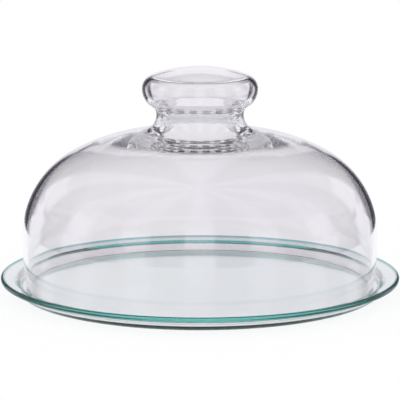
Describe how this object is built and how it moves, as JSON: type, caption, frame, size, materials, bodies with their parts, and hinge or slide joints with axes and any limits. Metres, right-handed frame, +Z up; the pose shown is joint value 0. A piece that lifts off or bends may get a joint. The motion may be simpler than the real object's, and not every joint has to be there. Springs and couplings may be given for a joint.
{
  "type": "cheese dome",
  "caption": "Clear glass dome with a hollow knob that stands on a shallow glass plate and covers cheese, cake or fruit.",
  "frame": {"origin": "middle of the plate's underside, on the surface that the object stands on", "axes": "+Z is up and is the axis that both pieces are turned about; any side can face forward, and -Y is the side that faces the picture's camera"},
  "size_m": [0.24, 0.24, 0.1353],
  "materials": {
    "plate_glass": "clear slumped glass with a green tint along its edge, fire-polished",
    "dome_glass": "clear colourless blown glass, fire-polished"
  },
  "bodies": {
    "root": {"plate": "plate_glass", "dome": "dome_glass"}
  },
  "joints": []
}
